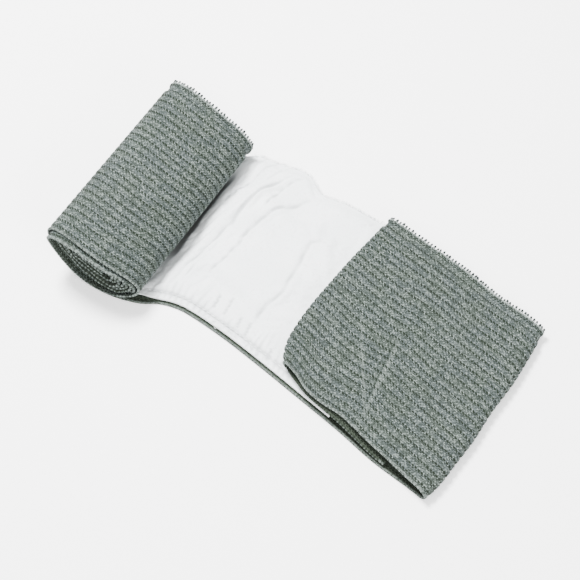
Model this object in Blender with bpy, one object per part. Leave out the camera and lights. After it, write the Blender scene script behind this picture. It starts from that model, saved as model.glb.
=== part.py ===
# Elastic bandage with a dressing pad: one woven strip, wound into a flattened roll at one end, laid
# out flat under the pad, and folded back over the pad's far end at the other. Metres, +Z up.
# X runs along the strip from the roll to the folded tail, Y across it from its front edge to its back.
import math

import bmesh
import bpy
import numpy as np

# The cloth
STRIP_WIDTH = 0.100
CLOTH = 0.0011
LAYER_GAP = 0.0003

# The roll: an oval that leans down towards the open strip, wound on a flat core
ROLL_LENGTHWAYS = 0.0548
ROLL_THROUGH = 0.0287
ROLL_ROUNDING = 0.0058
ROLL_LEAN = math.radians(-22)
ROLL_SKEW = math.radians(6.5)
NOSE_OVERHANG = 0.0023
CORE_LENGTHWAYS = 0.0225
CORE_AIR = 0.0006
TONGUE_LENGTH = 0.016
LOOSE_LAP = 0.0050
LOOSE_LAP_AT = math.radians(247)
LOOSE_LAP_SPREAD = math.radians(27)
LAP_STAGGER = 0.0007
PEEKING_LAP = 0.0037
# The same features in turns before the last lap meets the floor
LOOSE_FROM_TURN = 1.6
LOOSE_FULL_TURN = 1.3
STAGGER_FULL_TURN = 1.9
STAGGER_END_TURN = 1.4
STAGGER_RHYTHM = 2.3
PEEK_TURN = 1.40
PEEK_SPREAD_TURN = 0.30

# The open run, from the roll's nose to the outside of the tail's fold
OPEN_RUN = 0.174
TAIL_LENGTH = 0.0985
TAIL_FOLD_BEND = 0.00345
TUCK_FOLD_BEND = 0.0024
TAIL_SAG = 0.0012
# How far along the run the skew of the roll dies out, and where the tail fold's line begins to show
SKEW_END = 0.40
TAIL_PULL = 0.45
TAIL_PULL_TOP = 0.30
TUCK_PULL = 0.55
TUCKED_LENGTH = 0.074
TUCKED_END_LIFT = 0.0010

# The pad
PAD_LENGTH = 0.125
PAD_THICKNESS = 0.0046
PAD_BORDER_THICKNESS = 0.0016
PAD_BORDER = 0.0075
PAD_SETBACK = 0.0020
PAD_TUCK = 0.0090
WRINKLE_FADE = 0.20

# How finely the shapes are divided
LAP_STEPS = 36
FOLD_STEPS = 7
CORE_STEPS = 5
CROWDING = 0.45
TONGUE_START = 0.6
RUN_STEP = 0.0070
TAIL_STEP = 0.0060
PAD_STEPS_ALONG = 50
PAD_STEPS_ACROSS = 18
ACROSS = (0.0, 0.05, 0.12, 0.22, 0.35, 0.50, 0.68, 0.85, 1.0)

CLOTH_COLOUR = (0.26, 0.30, 0.26, 1.0)
PAD_COLOUR = (0.82, 0.84, 0.85, 1.0)
CLOTH_ROUGHNESS = 0.92
PAD_ROUGHNESS = 0.85

# The strip's two edges seen from above. Along is a share of OPEN_RUN, measured from the roll's nose;
# front and back are shares of STRIP_WIDTH.
STRIP_EDGES = (
    # along, front, back
    (-0.320, -0.606, 0.420),
    (-0.030, -0.550, 0.446),
    (0.015, -0.514, 0.466),
    (0.055, -0.465, 0.510),
    (0.110, -0.429, 0.546),
    (0.170, -0.416, 0.572),
    (0.230, -0.412, 0.522),
    (0.290, -0.411, 0.548),
    (0.400, -0.417, 0.570),
    (0.575, -0.434, 0.580),
    (0.705, -0.448, 0.578),
    (0.830, -0.470, 0.562),
    (0.950, -0.472, 0.560),
    (1.000, -0.476, 0.552),
)

# The folded tail's top layer, from the tuck fold (0) to the tail's fold (1): how far its front edge
# lies behind the run's front edge, and the same for the tucked layer, as shares of STRIP_WIDTH.
TAIL_EDGES = (
    # along, top set back, tucked set back
    (0.00, 0.048, 0.048),
    (0.10, 0.040, 0.030),
    (0.22, 0.020, 0.014),
    (0.36, 0.022, 0.010),
    (0.46, 0.050, 0.012),
    (0.60, 0.050, 0.012),
    (0.72, 0.042, 0.010),
    (0.88, 0.004, 0.008),
    (1.00, 0.000, 0.000),
)

# How each fold wanders along X between the front edge (0) and the back edge (1), as shares of
# STRIP_WIDTH. The tuck fold's front corner is curled back.
FOLD_LINES = (
    # across, tail fold, tuck fold
    (0.00, 0.010, 0.092),
    (0.05, 0.020, 0.058),
    (0.12, 0.024, 0.028),
    (0.22, 0.020, 0.009),
    (0.35, 0.017, -0.004),
    (0.50, 0.000, -0.009),
    (0.72, -0.011, -0.012),
    (0.85, -0.028, -0.008),
    (1.00, -0.050, -0.006),
)

# The pad's main wrinkles: long ridges (height above 0) and creases (below 0) that run across it beside
# the roll and bend towards the tail at its back edge. Across and along are shares of the pad's width
# and length, bow and spread shares of its length, and height a share of PAD_THICKNESS.
PAD_WRINKLES = (
    # from across, to across, along at from, along at to, bow, height, spread
    (0.04, 0.97, 0.120, 0.235, -0.020, 0.22, 0.022),
    (0.05, 0.98, 0.160, 0.300, -0.040, -0.17, 0.018),
    (0.08, 0.97, 0.200, 0.335, -0.030, 0.16, 0.026),
    (0.18, 0.95, 0.240, 0.386, -0.020, -0.14, 0.022),
    (0.10, 0.90, 0.400, 0.470, 0.000, 0.07, 0.070),
    (0.05, 0.76, 0.545, 0.525, -0.020, -0.12, 0.030),
)

for old in list(bpy.data.objects):
    bpy.data.objects.remove(old, do_unlink=True)


def read_table(rows, column, at):
    """A smooth curve through one column of a table, read at the given places of its first column."""
    places = np.array([row[0] for row in rows])
    values = np.array([row[column] for row in rows])
    slopes = np.gradient(values, places)
    at = np.clip(at, places[0], places[-1])
    left = np.clip(np.searchsorted(places, at, side="right") - 1, 0, len(places) - 2)
    span = places[left + 1] - places[left]
    t = (at - places[left]) / span
    rise = t * t * (3 - 2 * t)
    bow = t * (1 - t) * span
    return (
        values[left] * (1 - rise)
        + values[left + 1] * rise
        + bow * ((1 - t) * slopes[left] - t * slopes[left + 1])
    )


def ease(low, high, at):
    """A smooth step from 0 at low to 1 at high."""
    t = np.clip((np.asarray(at, dtype=float) - low) / (high - low), 0.0, 1.0)
    return t * t * (3 - 2 * t)


def oval(angle, half_long, half_short, rounding):
    """Distance from the centre to the tangent line of a leaning oval, and its slope with the angle."""
    a = half_long - rounding
    b = half_short - rounding
    turned = angle - ROLL_LEAN
    reach = np.sqrt((a * np.cos(turned)) ** 2 + (b * np.sin(turned)) ** 2)
    slope = (b * b - a * a) * np.sin(turned) * np.cos(turned) / reach
    return reach + rounding, slope


# The core holds the tongue between the two runs of the first lap
CORE_THROUGH = 2 * (CLOTH + CORE_AIR)
CORE_ROUNDING = 0.75 * CORE_THROUGH / 2


def outer_oval(angle):
    return oval(angle, (ROLL_LENGTHWAYS - CLOTH) / 2, (ROLL_THROUGH - CLOTH) / 2, ROLL_ROUNDING)


def core_oval(angle):
    return oval(angle, CORE_LENGTHWAYS / 2, CORE_THROUGH / 2, CORE_ROUNDING)


def count_laps():
    """As many whole laps as fit between the core and the outside."""
    angles = np.linspace(0, 2 * math.pi, 181)
    room = np.min(outer_oval(angles)[0] - core_oval(angles)[0])
    return max(2, int(room / (CLOTH + LAYER_GAP)))


LAPS = count_laps()


def lap_point(turn, angle):
    """Point of the spiral's middle line after so many turns, about the roll's centre."""
    share = turn / LAPS
    outer, outer_slope = outer_oval(angle)
    core, core_slope = core_oval(angle)
    reach = core + (outer - core) * share
    slope = core_slope + (outer_slope - core_slope) * share
    off = (angle - LOOSE_LAP_AT + math.pi) % (2 * math.pi) - math.pi
    loose = ease(LAPS - LOOSE_FROM_TURN, LAPS - LOOSE_FULL_TURN, turn)
    swell = LOOSE_LAP * loose * np.exp(-((off / LOOSE_LAP_SPREAD) ** 2))
    reach = reach + swell
    slope = slope - 2 * off / LOOSE_LAP_SPREAD**2 * swell
    return (
        reach * np.cos(angle) - slope * np.sin(angle),
        reach * np.sin(angle) + slope * np.cos(angle),
    )


def spiral():
    """The laps from the core to the floor: x, z and turn count."""
    # The angles crowd together along the oval's flatter sides, the same on every lap
    even = 1.5 * math.pi + 2 * math.pi * np.arange(-1, (LAPS + 0.25) * LAP_STEPS) / LAP_STEPS
    angles = even + CROWDING / 2 * np.sin(2 * even) + ROLL_LEAN
    # The first lap starts on the left half of the core's underside
    slip = CORE_THROUGH / CORE_LENGTHWAYS * TONGUE_START
    first = 1.5 * math.pi + ROLL_LEAN - math.atan(slip)
    floor_angle = 1.5 * math.pi + 2 * math.pi * LAPS
    keep = (angles > first + 0.01) & (angles < floor_angle - 0.02)
    angles = np.concatenate([[first], angles[keep], [floor_angle]])
    turns = (angles - 1.5 * math.pi) / (2 * math.pi)
    x, z = lap_point(turns, angles)
    nose = np.max(x) + CLOTH / 2 - NOSE_OVERHANG
    return x - nose, z - z[-1] + CLOTH / 2, turns


def tongue(x, z):
    """The cloth's inner end, doubled back inside the first lap, ending at that lap's first point."""
    lean = np.array([math.cos(ROLL_LEAN), math.sin(ROLL_LEAN)])
    up = np.array([-lean[1], lean[0]])
    bend_radius = CORE_THROUGH / 4
    centre = np.array([x, z]) + up * bend_radius
    turn = np.linspace(-0.5 * math.pi, -1.5 * math.pi, CORE_STEPS + 1)[1:]
    bend = [centre + bend_radius * (math.cos(a) * lean + math.sin(a) * up) for a in turn]
    straight = [bend[-1] + lean * TONGUE_LENGTH * share for share in (0.35, 0.7, 1.0)]
    points = np.array((bend + straight)[::-1])
    return points[:, 0], points[:, 1]


def arc(x, z, bend, start, end):
    """Points of a fold's half circle, without its two ends."""
    angles = np.linspace(start, end, FOLD_STEPS + 1)[1:-1]
    return x + bend * np.cos(angles), z + bend * np.sin(angles)


def steps_between(low, high, step):
    return np.linspace(low, high, max(3, int(round(abs(high - low) / step)) + 1))


def run_share(x):
    return x / OPEN_RUN


def roll_pull(x):
    """How much of the roll's skew the run takes at x."""
    return 1 - ease(0.0, SKEW_END, run_share(x))


def front_edge(x):
    return read_table(STRIP_EDGES, 1, run_share(x)) * STRIP_WIDTH


def back_edge(x):
    return read_table(STRIP_EDGES, 2, run_share(x)) * STRIP_WIDTH


SPIRAL_X, SPIRAL_Z, SPIRAL_TURN = spiral()
PAD_BOTTOM = CLOTH + LAYER_GAP
PAD_FULL = PAD_BOTTOM + PAD_THICKNESS
PAD_START = -PAD_TUCK
PAD_END = PAD_START + PAD_LENGTH
TUCK_FOLD_X = OPEN_RUN - TAIL_LENGTH
TAIL_BEND_X = OPEN_RUN - CLOTH / 2 - TAIL_FOLD_BEND
TUCK_BEND_X = TUCK_FOLD_X + CLOTH / 2 + TUCK_FOLD_BEND


def under_roll(x):
    """Height of the roll's underside over the run, in front of where it rests on it."""
    last = (SPIRAL_TURN > LAPS - 1) & (SPIRAL_TURN < LAPS - 0.76)
    return np.interp(x, SPIRAL_X[last], SPIRAL_Z[last]) - CLOTH / 2


def tucked_height(x):
    """Middle of the tucked layer: on the pad, then down towards the run past the pad's end."""
    on_pad = PAD_FULL + LAYER_GAP + CLOTH / 2
    at_end = CLOTH + LAYER_GAP + TUCKED_END_LIFT + CLOTH / 2
    fall = ease(PAD_END - PAD_BORDER, TUCK_FOLD_X + TUCKED_LENGTH, x)
    return on_pad + (at_end - on_pad) * fall


def tail_height(x):
    """Middle of the tail's top layer, hung between its two folds and held up by what it lies on."""
    left = tucked_height(TUCK_BEND_X) + 2 * TUCK_FOLD_BEND
    right = CLOTH / 2 + 2 * TAIL_FOLD_BEND
    share = (x - TUCK_BEND_X) / (TAIL_BEND_X - TUCK_BEND_X)
    hung = left + (right - left) * share - TAIL_SAG * 4 * share * (1 - share)
    return np.maximum(hung, tucked_height(x) + CLOTH + LAYER_GAP)


def tail_share(x):
    return np.clip((x - TUCK_FOLD_X) / TAIL_LENGTH, 0.0, 1.0)


def fold_pulls(share):
    """How much a layer of the tail follows the line of the tail fold, and of the tuck fold."""
    return ease(TAIL_PULL_TOP, 1.0, share), (1 - ease(0.0, TUCK_PULL, share)) ** 2


def strip_path():
    """Rows of the strip's middle line: x, z, front y, back y, roll, tail fold and tuck fold weights."""
    rows = []

    def add(x, z, front, back, roll, tail, tuck):
        columns = np.broadcast_arrays(x, z, front, back, roll, tail, tuck)
        rows.append(np.stack(columns, axis=1))

    tongue_x, tongue_z = tongue(SPIRAL_X[0], SPIRAL_Z[0])
    roll_x = np.append(tongue_x, SPIRAL_X)
    roll_z = np.append(tongue_z, SPIRAL_Z)
    turn = np.append(np.full(len(tongue_x), SPIRAL_TURN[0]), SPIRAL_TURN)
    inner = 1 - ease(LAPS - STAGGER_FULL_TURN, LAPS - STAGGER_END_TURN, turn)
    shift = LAP_STAGGER * inner * (1 + np.sin(STAGGER_RHYTHM * turn))
    shift = shift - PEEKING_LAP * np.exp(-(((turn - LAPS + PEEK_TURN) / PEEK_SPREAD_TURN) ** 2))
    add(roll_x, roll_z, front_edge(roll_x) + shift, back_edge(roll_x) + shift, 1.0, 0.0, 0.0)

    run_x = steps_between(SPIRAL_X[-1], TAIL_BEND_X, RUN_STEP)[1:]
    near_tail = ease(TAIL_PULL, 1.0, run_share(run_x))
    add(run_x, CLOTH / 2, front_edge(run_x), back_edge(run_x), roll_pull(run_x), near_tail, 0.0)

    fold_z = CLOTH / 2 + TAIL_FOLD_BEND
    fold_x, fold_z = arc(TAIL_BEND_X, fold_z, TAIL_FOLD_BEND, -0.5 * math.pi, 0.5 * math.pi)
    add(fold_x, fold_z, front_edge(OPEN_RUN), back_edge(OPEN_RUN), 0.0, 1.0, 0.0)

    top_x = steps_between(TAIL_BEND_X, TUCK_BEND_X, TAIL_STEP)
    share = tail_share(top_x)
    top_front = front_edge(top_x) + read_table(TAIL_EDGES, 1, share) * STRIP_WIDTH
    add(top_x, tail_height(top_x), top_front, back_edge(top_x), 0.0, *fold_pulls(share))

    tuck_z = tucked_height(TUCK_BEND_X) + TUCK_FOLD_BEND
    tuck_x, tuck_z = arc(TUCK_BEND_X, tuck_z, TUCK_FOLD_BEND, 0.5 * math.pi, 1.5 * math.pi)
    tuck_front = front_edge(TUCK_FOLD_X) + read_table(TAIL_EDGES, 1, np.zeros(1)) * STRIP_WIDTH
    add(tuck_x, tuck_z, tuck_front, back_edge(TUCK_FOLD_X), 0.0, 0.0, 1.0)

    in_x = steps_between(TUCK_BEND_X, TUCK_FOLD_X + TUCKED_LENGTH, TAIL_STEP)
    share = tail_share(in_x)
    in_front = front_edge(in_x) + read_table(TAIL_EDGES, 2, share) * STRIP_WIDTH
    add(in_x, tucked_height(in_x), in_front, back_edge(in_x), 0.0, *fold_pulls(share))
    return np.concatenate(rows)


def strip_surface():
    """The strip's middle surface as a grid of points, path by width."""
    path = strip_path()
    across = np.array(ACROSS)
    x, z, front, back, roll, tail, tuck = (path[:, i : i + 1] for i in range(7))
    y = front + (back - front) * across
    middle = (front_edge(0.0) + back_edge(0.0)) / 2
    wander = (
        -math.tan(ROLL_SKEW) * (y - middle) * roll
        + read_table(FOLD_LINES, 1, across) * STRIP_WIDTH * tail
        + read_table(FOLD_LINES, 2, across) * STRIP_WIDTH * tuck
    )
    return np.stack([x + wander, y, np.broadcast_to(z, y.shape)], axis=2)


def thicken(surface, thickness):
    """The two faces of a sheet of the given thickness about its middle surface."""
    along = np.gradient(surface, axis=0)
    across = np.gradient(surface, axis=1)
    normal = np.cross(along, across)
    normal /= np.linalg.norm(normal, axis=2, keepdims=True)
    return surface + normal * thickness / 2, surface - normal * thickness / 2


def pad_puff(along, across):
    """Height of the pad's wrinkles over its plain top, as a share of PAD_THICKNESS."""
    puff = np.zeros(np.broadcast(along, across).shape)
    for low, high, start, end, bow, height, spread in PAD_WRINKLES:
        t = (across - low) / (high - low)
        line = start + (end - start) * t + bow * 4 * t * (1 - t)
        fade = ease(0.0, WRINKLE_FADE, t) * ease(0.0, WRINKLE_FADE, 1 - t)
        puff = puff + height * fade * np.exp(-(((along - line) / spread) ** 2))
    return puff


def pad_faces():
    """The pad's upper and lower faces as grids, length by width."""
    along = np.linspace(0, 1, PAD_STEPS_ALONG + 1)[:, None]
    across = np.linspace(0, 1, PAD_STEPS_ACROSS + 1)[None, :]
    x = PAD_START + along * PAD_LENGTH
    front = front_edge(x) + PAD_SETBACK
    y = front + across * (back_edge(x) - LAYER_GAP - front)
    middle = (front_edge(0.0) + back_edge(0.0)) / 2
    skew = -math.tan(ROLL_SKEW) * (y - middle)

    from_side = np.minimum(across, 1 - across) * STRIP_WIDTH
    from_end = np.minimum(along, 1 - along) * PAD_LENGTH
    body = ease(0.0, PAD_BORDER, from_side) * ease(0.0, PAD_BORDER, from_end)
    open_part = 1 - ease(TUCK_FOLD_X - PAD_BORDER, TUCK_FOLD_X, x)
    thick = PAD_BORDER_THICKNESS + (PAD_THICKNESS - PAD_BORDER_THICKNESS) * body
    thick = thick + PAD_THICKNESS * pad_puff(along, across) * body * open_part
    top = PAD_BOTTOM + thick
    # Under the roll's nose the pad is pressed to the room that is left there
    pull = roll_pull(x)
    reach = x - skew * (1 - pull)
    room = under_roll(reach) - LAYER_GAP
    lowest = PAD_BOTTOM + LAYER_GAP
    top = np.where(reach < -CLOTH, np.minimum(top, np.maximum(room, lowest)), top)
    x = x + skew * pull
    upper = np.stack([x, y, top], axis=2)
    lower = np.stack([x, y, np.full(y.shape, PAD_BOTTOM)], axis=2)
    return upper, lower


def close_grid(name, upper, lower, colour, roughness):
    """One closed solid between two grids of the same size, as an object with its own material."""
    rows, columns = upper.shape[:2]
    mesh = bpy.data.meshes.new(name)
    bm = bmesh.new()
    top = [[bm.verts.new(upper[i, j]) for j in range(columns)] for i in range(rows)]
    bottom = [[bm.verts.new(lower[i, j]) for j in range(columns)] for i in range(rows)]
    for i in range(rows - 1):
        for j in range(columns - 1):
            bm.faces.new((top[i][j], top[i + 1][j], top[i + 1][j + 1], top[i][j + 1]))
            bm.faces.new((bottom[i][j], bottom[i][j + 1], bottom[i + 1][j + 1], bottom[i + 1][j]))
    for i in range(rows - 1):
        bm.faces.new((top[i + 1][0], top[i][0], bottom[i][0], bottom[i + 1][0]))
        bm.faces.new((top[i][-1], top[i + 1][-1], bottom[i + 1][-1], bottom[i][-1]))
    for j in range(columns - 1):
        bm.faces.new((top[0][j], top[0][j + 1], bottom[0][j + 1], bottom[0][j]))
        bm.faces.new((top[-1][j + 1], top[-1][j], bottom[-1][j], bottom[-1][j + 1]))
    bmesh.ops.recalc_face_normals(bm, faces=bm.faces)
    bmesh.ops.triangulate(bm, faces=bm.faces)
    bm.to_mesh(mesh)
    bm.free()
    mesh.shade_smooth()
    mesh.set_sharp_from_angle(angle=math.radians(40))

    material = bpy.data.materials.new(name)
    material.use_nodes = True
    shader = material.node_tree.nodes["Principled BSDF"]
    shader.inputs["Base Color"].default_value = colour
    shader.inputs["Roughness"].default_value = roughness
    mesh.materials.append(material)
    body = bpy.data.objects.new(name, mesh)
    bpy.context.scene.collection.objects.link(body)
    return body


cloth_upper, cloth_lower = thicken(strip_surface(), CLOTH)
pad_upper, pad_lower = pad_faces()

# The origin goes under the middle of the whole, on the surface that it lies on
corners = np.concatenate([grid.reshape(-1, 3) for grid in (cloth_upper, cloth_lower, pad_upper)])
origin = (corners.min(axis=0) + corners.max(axis=0)) / 2
origin[2] = corners[:, 2].min()

close_grid("elastic_bandage", cloth_upper - origin, cloth_lower - origin, CLOTH_COLOUR, CLOTH_ROUGHNESS)
close_grid("absorbent_pad", pad_upper - origin, pad_lower - origin, PAD_COLOUR, PAD_ROUGHNESS)
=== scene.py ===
import math
from functools import partial

import bmesh
import bpy
import numpy as np
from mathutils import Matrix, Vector


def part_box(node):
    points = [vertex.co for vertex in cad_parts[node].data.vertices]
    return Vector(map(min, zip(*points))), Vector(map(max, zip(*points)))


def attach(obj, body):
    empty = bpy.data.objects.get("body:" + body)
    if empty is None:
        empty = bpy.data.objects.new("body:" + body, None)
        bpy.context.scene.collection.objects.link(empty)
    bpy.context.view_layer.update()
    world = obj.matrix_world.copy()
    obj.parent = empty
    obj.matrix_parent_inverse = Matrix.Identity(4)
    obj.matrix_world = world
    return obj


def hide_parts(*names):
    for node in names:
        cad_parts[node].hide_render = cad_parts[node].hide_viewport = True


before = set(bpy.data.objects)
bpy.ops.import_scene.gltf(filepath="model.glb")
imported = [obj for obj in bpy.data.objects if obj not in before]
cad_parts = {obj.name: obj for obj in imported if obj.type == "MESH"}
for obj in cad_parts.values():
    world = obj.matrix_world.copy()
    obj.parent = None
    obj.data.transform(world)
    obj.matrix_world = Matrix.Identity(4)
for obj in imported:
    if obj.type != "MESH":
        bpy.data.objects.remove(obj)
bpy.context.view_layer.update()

# The woven strip: one elastic cloth 100 mm wide, ribbed lengthwise, with a woven selvedge along each
# edge. It is wound into a flattened roll, laid flat under the pad and folded back over the pad's far
# end. Both of its pieces here are swept along one middle line, and they meet inside the roll.
MM = 0.001
STRIP_WIDTH = 0.100
CLOTH = 0.0011
LAYER_GAP = 0.0003
ROLL_LENGTHWAYS = 0.0548
ROLL_THROUGH = 0.0287
ROLL_ROUNDING = 0.0058
ROLL_LEAN = math.radians(-22)
ROLL_SKEW = math.radians(6.5)
NOSE_OVERHANG = 0.0023
CORE_LENGTHWAYS = 0.0225
CORE_AIR = 0.0006
CORE_THROUGH = 2 * (CLOTH + CORE_AIR)
CORE_ROUNDING = 0.75 * CORE_THROUGH / 2
CORE_SLIP = 0.6
TONGUE_LENGTH = 0.016
LAPS = 8
LOOSE_LAP = 0.0050
LOOSE_LAP_AT = math.radians(247)
LOOSE_LAP_SPREAD = math.radians(27)
LAP_STAGGER = 0.0007
STAGGER_RHYTHM = 2.3
PEEKING_LAP = 0.0037
# Where these show, in turns before the last lap meets the floor
LOOSE_FROM_TURN = 1.6
LOOSE_FULL_TURN = 1.3
STAGGER_FULL_TURN = 1.9
STAGGER_END_TURN = 1.4
PEEK_TURN = 1.40
PEEK_SPREAD_TURN = 0.30
NOSE_TURN = 1.1
SPLIT_TURN = 1.62
OPEN_RUN = 0.174
TAIL_LENGTH = 0.0985
TAIL_FOLD_BEND = 0.00345
TUCK_FOLD_BEND = 0.0024
TAIL_SAG = 0.0012
TUCKED_LENGTH = 0.074
TUCKED_END_LIFT = 0.0010
# How far along the run the roll's skew dies out, and where the pull of each fold begins to show
SKEW_END = 0.40
TAIL_PULL = 0.45
TAIL_PULL_TOP = 0.30
TUCK_PULL = 0.55
PAD_LENGTH = 0.125
PAD_THICKNESS = 0.0046
PAD_BORDER = 0.0075
PAD_TUCK = 0.0090
RIB = 0.00386
PICK = 0.00186
FIRST_GROOVE = 0.0021
GROOVE_DEPTH = 0.00040
RIB_RISE = 0.00025
SELVEDGE_ROUND = 0.00062
SELVEDGE_THIN = 0.00006
# The loose top layer of the tail: its low waves, and the old fold line that leans across it
SLACK_RISE = 0.30 * MM
FOLD_LINE_X = 0.1265
FOLD_LINE_Y = -0.0338
FOLD_LINE_LEAN = 0.24
FOLD_LINE_WIDTH = 0.0010
FOLD_LINE_DEPTH = 0.50 * MM
FOLD_LIP_AT = 0.0024
FOLD_LIP_WIDTH = 0.0018
FOLD_LIP_RISE = 0.65 * MM
# How far the edges of the inner laps stray, in long swings and from pick to pick
UNEVEN_LAPS = 0.50 * MM
UNEVEN_PICKS = 0.30 * MM

# The two edges seen from above: along the open run, front and back edge as shares of the width
STRIP_EDGES = (
    (-0.320, -0.606, 0.420),
    (-0.030, -0.550, 0.446),
    (0.015, -0.514, 0.466),
    (0.055, -0.465, 0.510),
    (0.110, -0.429, 0.546),
    (0.170, -0.416, 0.572),
    (0.230, -0.412, 0.522),
    (0.290, -0.411, 0.548),
    (0.400, -0.417, 0.570),
    (0.575, -0.434, 0.580),
    (0.705, -0.448, 0.578),
    (0.830, -0.470, 0.562),
    (0.950, -0.472, 0.560),
    (1.000, -0.476, 0.552),
)
# The folded tail: along it, set back of the top layer's front edge and of the tucked layer's
TAIL_EDGES = (
    (0.00, 0.048, 0.048),
    (0.10, 0.040, 0.030),
    (0.22, 0.020, 0.014),
    (0.36, 0.022, 0.010),
    (0.46, 0.037, 0.012),
    (0.60, 0.034, 0.012),
    (0.72, 0.030, 0.010),
    (0.88, 0.009, 0.008),
    (1.00, 0.000, 0.000),
)
# How the tail fold and the tuck fold wander, from the front edge to the back edge
FOLD_LINES = (
    (0.00, 0.010, 0.092),
    (0.05, 0.020, 0.058),
    (0.12, 0.024, 0.028),
    (0.22, 0.020, 0.009),
    (0.35, 0.017, -0.004),
    (0.50, 0.000, -0.009),
    (0.72, -0.011, -0.012),
    (0.85, -0.028, -0.008),
    (1.00, -0.050, -0.006),
)


def read_table(rows, column, at):
    places = np.array([row[0] for row in rows])
    values = np.array([row[column] for row in rows])
    slopes = np.gradient(values, places)
    at = np.clip(at, places[0], places[-1])
    left = np.clip(np.searchsorted(places, at, side="right") - 1, 0, len(places) - 2)
    span = places[left + 1] - places[left]
    t = (at - places[left]) / span
    rise = t * t * (3 - 2 * t)
    lean = (1 - t) * slopes[left] - t * slopes[left + 1]
    return values[left] * (1 - rise) + values[left + 1] * rise + t * (1 - t) * span * lean


def ease(low, high, at):
    t = np.clip((np.asarray(at, dtype=float) - low) / (high - low), 0.0, 1.0)
    return t * t * (3 - 2 * t)


def hump(off, width):
    return np.exp(-((off / width) ** 2))


def join(*columns):
    return np.stack(np.broadcast_arrays(*columns), axis=-1)


def unit(vectors):
    return vectors / np.linalg.norm(vectors, axis=-1, keepdims=True)


def step_lengths(line):
    return np.hypot(*np.diff(line[:, :2], axis=0).T)


def running(steps):
    return np.concatenate([[0], np.cumsum(steps)])


def read_line(at, length, line):
    return join(*(np.interp(at, length, column) for column in line.T))


def oval(angle, half_long, half_short, rounding):
    a = half_long - rounding
    b = half_short - rounding
    turned = angle - ROLL_LEAN
    reach = np.sqrt((a * np.cos(turned)) ** 2 + (b * np.sin(turned)) ** 2)
    return reach + rounding, (b * b - a * a) * np.sin(turned) * np.cos(turned) / reach


def wound_laps():
    """Middle line of the roll, from its heart to the floor: x, z and turn."""
    slip = CORE_THROUGH / CORE_LENGTHWAYS * CORE_SLIP
    first = 1.5 * math.pi + ROLL_LEAN - math.atan(slip)
    angle = np.linspace(first, 1.5 * math.pi + 2 * math.pi * LAPS, LAPS * 360)
    turn = (angle - 1.5 * math.pi) / (2 * math.pi)
    half_long, half_short = (ROLL_LENGTHWAYS - CLOTH) / 2, (ROLL_THROUGH - CLOTH) / 2
    outer, outer_slope = oval(angle, half_long, half_short, ROLL_ROUNDING)
    core, core_slope = oval(angle, CORE_LENGTHWAYS / 2, CORE_THROUGH / 2, CORE_ROUNDING)
    reach = core + (outer - core) * turn / LAPS
    slope = core_slope + (outer_slope - core_slope) * turn / LAPS
    off = (angle - LOOSE_LAP_AT + math.pi) % (2 * math.pi) - math.pi
    loose = ease(LAPS - LOOSE_FROM_TURN, LAPS - LOOSE_FULL_TURN, turn)
    swell = LOOSE_LAP * loose * hump(off, LOOSE_LAP_SPREAD)
    reach = reach + swell
    slope = slope - 2 * off / LOOSE_LAP_SPREAD**2 * swell
    x = reach * np.cos(angle) - slope * np.sin(angle)
    z = reach * np.sin(angle) + slope * np.cos(angle)
    # The heart of the roll: the cloth's end, doubled back inside the first lap
    lean = np.array([math.cos(ROLL_LEAN), math.sin(ROLL_LEAN)])
    up = np.array([-lean[1], lean[0]])
    bend = CORE_THROUGH / 4
    centre = np.array([x[0], z[0]]) + up * bend
    half_turn = np.linspace(-0.5 * math.pi, -1.5 * math.pi, 12)[1:, None]
    doubled = centre + bend * (np.cos(half_turn) * lean + np.sin(half_turn) * up)
    tongue = doubled[-1] + lean * TONGUE_LENGTH * np.linspace(0, 1, 30)[1:, None]
    heart = np.concatenate([doubled, tongue])[::-1]
    x = np.concatenate([heart[:, 0], x])
    z = np.concatenate([heart[:, 1], z])
    turn = np.concatenate([np.full(len(heart), turn[0]), turn])
    nose = x[turn > LAPS - NOSE_TURN].max() + CLOTH / 2 - NOSE_OVERHANG
    return x - nose, z - z[-1] + CLOTH / 2, turn


def front_edge(x):
    return read_table(STRIP_EDGES, 1, x / OPEN_RUN) * STRIP_WIDTH


def back_edge(x):
    return read_table(STRIP_EDGES, 2, x / OPEN_RUN) * STRIP_WIDTH


TUCK_FOLD_X = OPEN_RUN - TAIL_LENGTH
TAIL_BEND_X = OPEN_RUN - CLOTH / 2 - TAIL_FOLD_BEND
TUCK_BEND_X = TUCK_FOLD_X + CLOTH / 2 + TUCK_FOLD_BEND
PAD_START = -PAD_TUCK
PAD_END = PAD_START + PAD_LENGTH
PAD_BOTTOM = CLOTH + LAYER_GAP
PAD_FULL = PAD_BOTTOM + PAD_THICKNESS
MID_WIDTH = (front_edge(0.0) + back_edge(0.0)) / 2


def tucked_height(x):
    on_pad = PAD_FULL + LAYER_GAP + CLOTH / 2
    at_end = CLOTH + LAYER_GAP + TUCKED_END_LIFT + CLOTH / 2
    return on_pad + (at_end - on_pad) * ease(PAD_END - PAD_BORDER, TUCK_FOLD_X + TUCKED_LENGTH, x)


def tail_height(x):
    left = tucked_height(TUCK_BEND_X) + 2 * TUCK_FOLD_BEND
    right = CLOTH / 2 + 2 * TAIL_FOLD_BEND
    share = (x - TUCK_BEND_X) / (TAIL_BEND_X - TUCK_BEND_X)
    hung = left + (right - left) * share - TAIL_SAG * 4 * share * (1 - share)
    return np.maximum(hung, tucked_height(x) + CLOTH + LAYER_GAP)


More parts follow.
